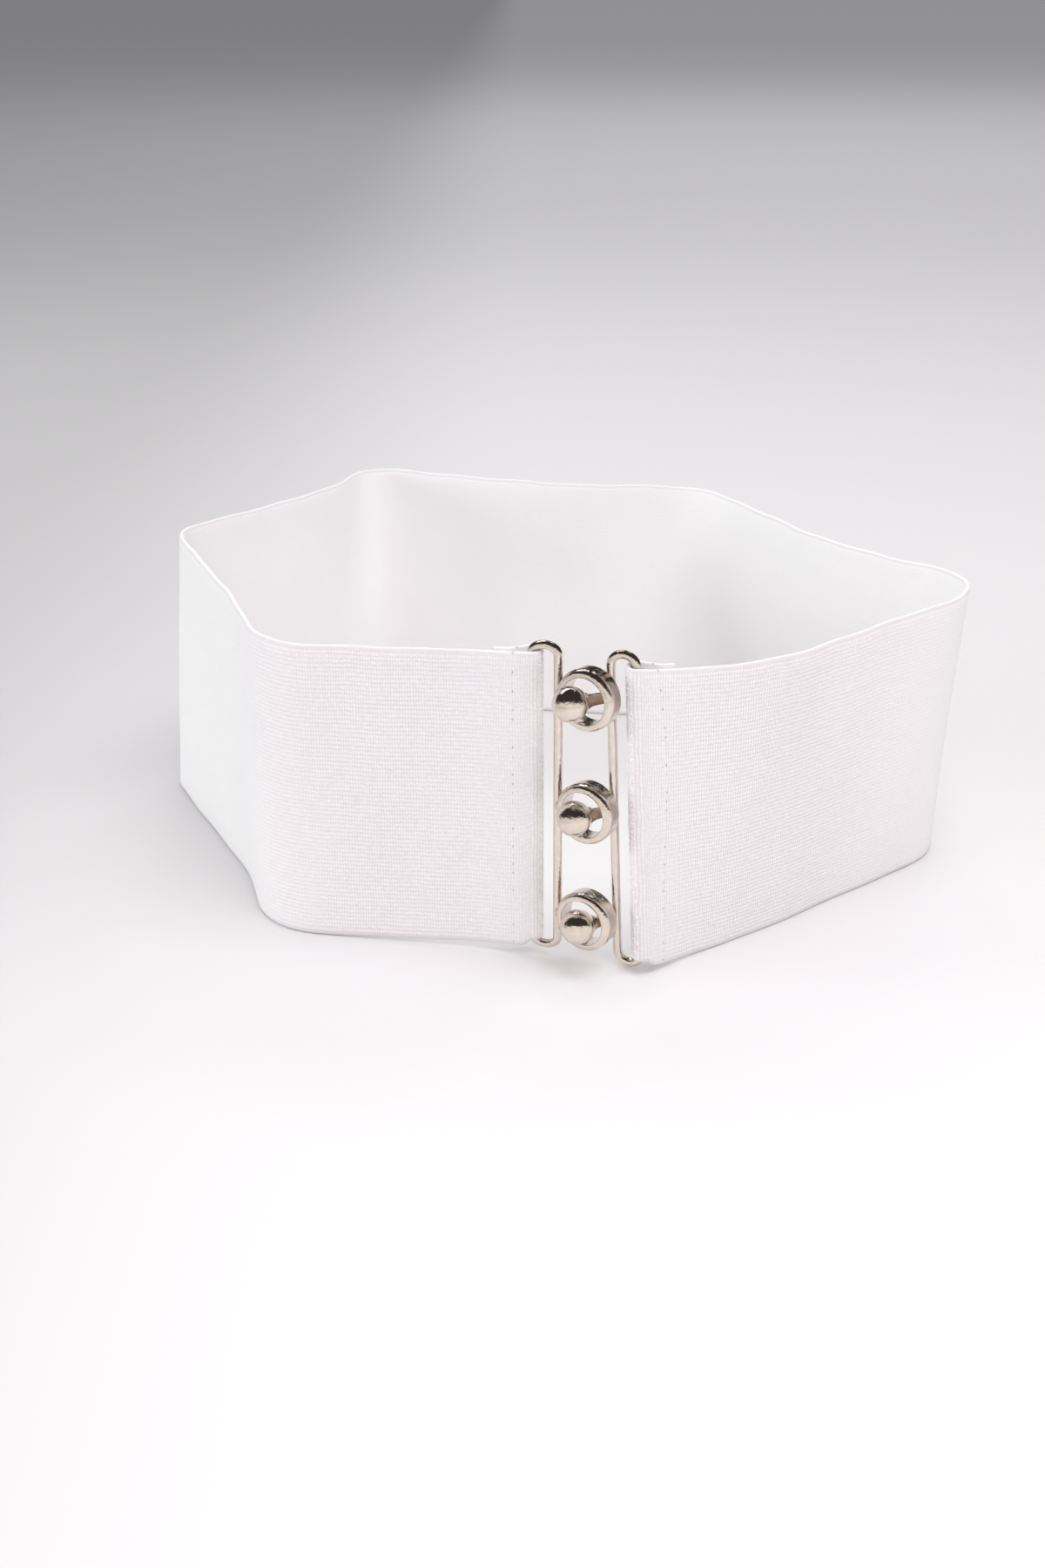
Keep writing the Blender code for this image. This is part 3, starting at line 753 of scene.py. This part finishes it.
def flat_arm(reach_x, reach_y, height, stations):
    """A rounded flat bar from the frame's wire to the ball's middle, flared by e^(-d/reach) at the ball."""
    length = math.hypot(reach_x, reach_y)
    t = np.linspace(0.0, 1.0, stations)
    from_ball = np.clip((1 - t) * length - BALL_RADIUS, 0, None)
    flare = 1 + ARM_FLARE * np.exp(-from_ball / ARM_FLARE_REACH)
    turn = np.linspace(0, 2 * math.pi, 24, endpoint=False)
    across = ARM_THICKNESS / 2 * np.sign(np.cos(turn)) * np.abs(np.cos(turn)) ** ARM_SQUARENESS
    upward = ARM_HEIGHT / 2 * np.sign(np.sin(turn)) * np.abs(np.sin(turn)) ** ARM_SQUARENESS
    arm_x = reach_x * t - reach_y / length * across[:, None] * flare
    arm_y = reach_y * t + reach_x / length * across[:, None] * flare
    return np.stack([arm_x, arm_y, height + upward[:, None] * flare], axis=-1)


path = wire_loop(1, RIGHT_END_RISE)
wire = moved(closed_tube(path, WIRE_RADIUS, 28), RIGHT_FRAME)
shells = [(wire, grid_faces(28, len(path), True, True).tolist())]
middle = RIGHT_FRAME.inverted() @ LEFT_FRAME @ ring_place(RING_HEIGHTS[1])
middle = (middle @ Matrix.Translation((-BALL_ASIDE, -BALL_PROUD, 0.0))).translation
for height in RING_HEIGHTS:
    level = middle.z + height - RING_HEIGHTS[1]
    arm = flat_arm(middle.x, middle.y, level, 24)
    arm_faces = grid_faces(24, 24, wrap_rows=True).tolist()
    arm_faces += [[k * 24 for k in range(24)][::-1], [k * 24 + 23 for k in range(24)]]
    shells.append((moved(arm, RIGHT_FRAME), arm_faces))
    ball_place = RIGHT_FRAME @ Matrix.Translation((middle.x, middle.y, level))
    shells.append((moved(ball(BALL_RADIUS, 40, 64), ball_place), ball_faces(40, 64)))
ball_half = outward_mesh("clasp_ball_half", shells)
ball_half.data.materials.append(nickel)
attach(ball_half, "root")
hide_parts("ball_frame")


# Floor
# A wide sheet of white card, large enough to stay plain in every view; painted shade greys it off to the left
# and behind the belt, where the light falls off.
FLOOR_REACH = 20.0
CARD_TONES = (0.765, 0.755, 0.76), (0.775, 0.765, 0.77)

# Along which axis the card's painted shade greys it off, from where to where, and the share of its tone that
# is left
CARD_PAINTED_SHADE = (
    ("X", 0.0, -0.24, 0.74),
    ("Y", CLASP_AT[1] - 0.05, CLASP_AT[1] + 0.13, 0.87),
)

card_side = np.linspace(-FLOOR_REACH, FLOOR_REACH, 9)
card_x, card_y = np.meshgrid(card_side, card_side)
card_points = np.stack([card_x, card_y, np.zeros_like(card_x)], axis=-1)
floor = smooth_mesh("floor", card_points, grid_faces(9, 9).tolist())
card, card_shader, card_nodes, card_links = new_material("white_card", (0.735, 0.725, 0.73), 0.8)
card_place = card_nodes.new("ShaderNodeTexCoord")
card_grain = card_nodes.new("ShaderNodeTexNoise")
card_grain.inputs["Scale"].default_value = 4.0
card_links.new(card_place.outputs["Object"], card_grain.inputs["Vector"])
card_tone = mixed(card_nodes, card_links, card_grain.outputs["Fac"], *CARD_TONES)
card_parts = card_nodes.new("ShaderNodeSeparateXYZ")
card_links.new(card_place.outputs["Object"], card_parts.inputs[0])
# Painted shade: the card's colour is darkened along each axis, in place of the light falling off there
for axis, start, end, left_over in CARD_PAINTED_SHADE:
    falling = card_nodes.new("ShaderNodeMapRange")
    falling.interpolation_type = "SMOOTHSTEP"
    card_links.new(card_parts.outputs[axis], falling.inputs["Value"])
    falling.inputs["From Min"].default_value = start
    falling.inputs["From Max"].default_value = end
    card_painted_shade = mixed(card_nodes, card_links, falling.outputs[0], (1.0, 1.0, 1.0), (left_over,) * 3)
    product = card_nodes.new("ShaderNodeMix")
    product.data_type = "RGBA"
    product.blend_type = "MULTIPLY"
    product.inputs["Factor"].default_value = 1.0
    card_links.new(card_tone, product.inputs["A"])
    card_links.new(card_painted_shade, product.inputs["B"])
    card_tone = product.outputs["Result"]
card_links.new(card_tone, card_shader.inputs["Base Color"])
floor.data.materials.append(card)


# Light
# A bright, even room with large soft boxes over the belt, before it, beside it and behind it. Polished
# metal shows the white floor, a warm glow low in front, two soft boxes, and otherwise a dark room.
ROOM = (0.45, 0.45, 0.465)
ROOM_IN_METAL = (0.042, 0.036, 0.036)
GLOW_IN_METAL = (1.02, 0.96, 0.88)
GLOW_UNDER = (0.0, 0.41, 0.91)
GLOW_FADES = (0.0, 0.11)
Lamp = namedtuple("Lamp", "name place aim width height power colour in_metal")
LAMPS = (
    Lamp("overhead", (0.31, -0.35, 1.2), (0.31, -0.35, 0.0), 0.9, 0.9, 10.8, (1.0, 0.985, 0.985), False),
    Lamp("front", (0.05, -1.3, 1.0), (0.0, 0.0, 0.05), 1.1, 1.1, 6.1, (1.0, 0.86, 0.895), False),
    Lamp("left", (-1.4, 0.0, 0.30), (0.0, 0.0, 0.05), 0.6, 0.4, 6.6, (0.92, 1.0, 0.99), False),
    Lamp("behind", (0.4, 1.9, 1.8), (0.4, 1.9, 0.0), 1.6, 1.6, 14.0, (1.0, 1.0, 1.0), False),
    Lamp("long box", (-0.35, 0.62, 0.85), (0.0, 0.0, 0.05), 0.8, 0.10, 1.8, (1.0, 1.0, 1.0), True),
    Lamp("small box", (0.30, 0.66, 0.85), (0.0, 0.0, 0.05), 0.16, 0.12, 0.35, (1.0, 1.0, 1.0), True),
)
for lamp in LAMPS:
    data = bpy.data.lights.new(lamp.name, "AREA")
    data.shape = "RECTANGLE"
    data.size = lamp.width
    data.size_y = lamp.height
    data.energy = lamp.power
    data.color = lamp.colour
    light = bpy.data.objects.new(lamp.name, data)
    light.location = lamp.place
    light.rotation_euler = (Vector(lamp.aim) - Vector(lamp.place)).to_track_quat("-Z", "Y").to_euler()
    light.visible_glossy = lamp.in_metal
    bpy.context.scene.collection.objects.link(light)

room = bpy.data.worlds.new("room")
room.use_nodes = True
room_nodes, room_links = room.node_tree.nodes, room.node_tree.links
ray = room_nodes.new("ShaderNodeLightPath")
view_out = room_nodes.new("ShaderNodeTexCoord")
above = room_nodes.new("ShaderNodeVectorMath")
above.operation = "DOT_PRODUCT"
above.inputs[1].default_value = GLOW_UNDER
room_links.new(view_out.outputs["Generated"], above.inputs[0])
fade = room_nodes.new("ShaderNodeMapRange")
room_links.new(above.outputs["Value"], fade.inputs["Value"])
for name, number in zip(("From Min", "From Max", "To Min", "To Max"), (*GLOW_FADES, 1.0, 0.0)):
    fade.inputs[name].default_value = number
in_metal = mixed(room_nodes, room_links, fade.outputs[0], ROOM_IN_METAL, GLOW_IN_METAL)
glow = mixed(room_nodes, room_links, ray.outputs["Is Glossy Ray"], ROOM, in_metal)
room_links.new(glow, room_nodes["Background"].inputs["Color"])
bpy.context.scene.world = room
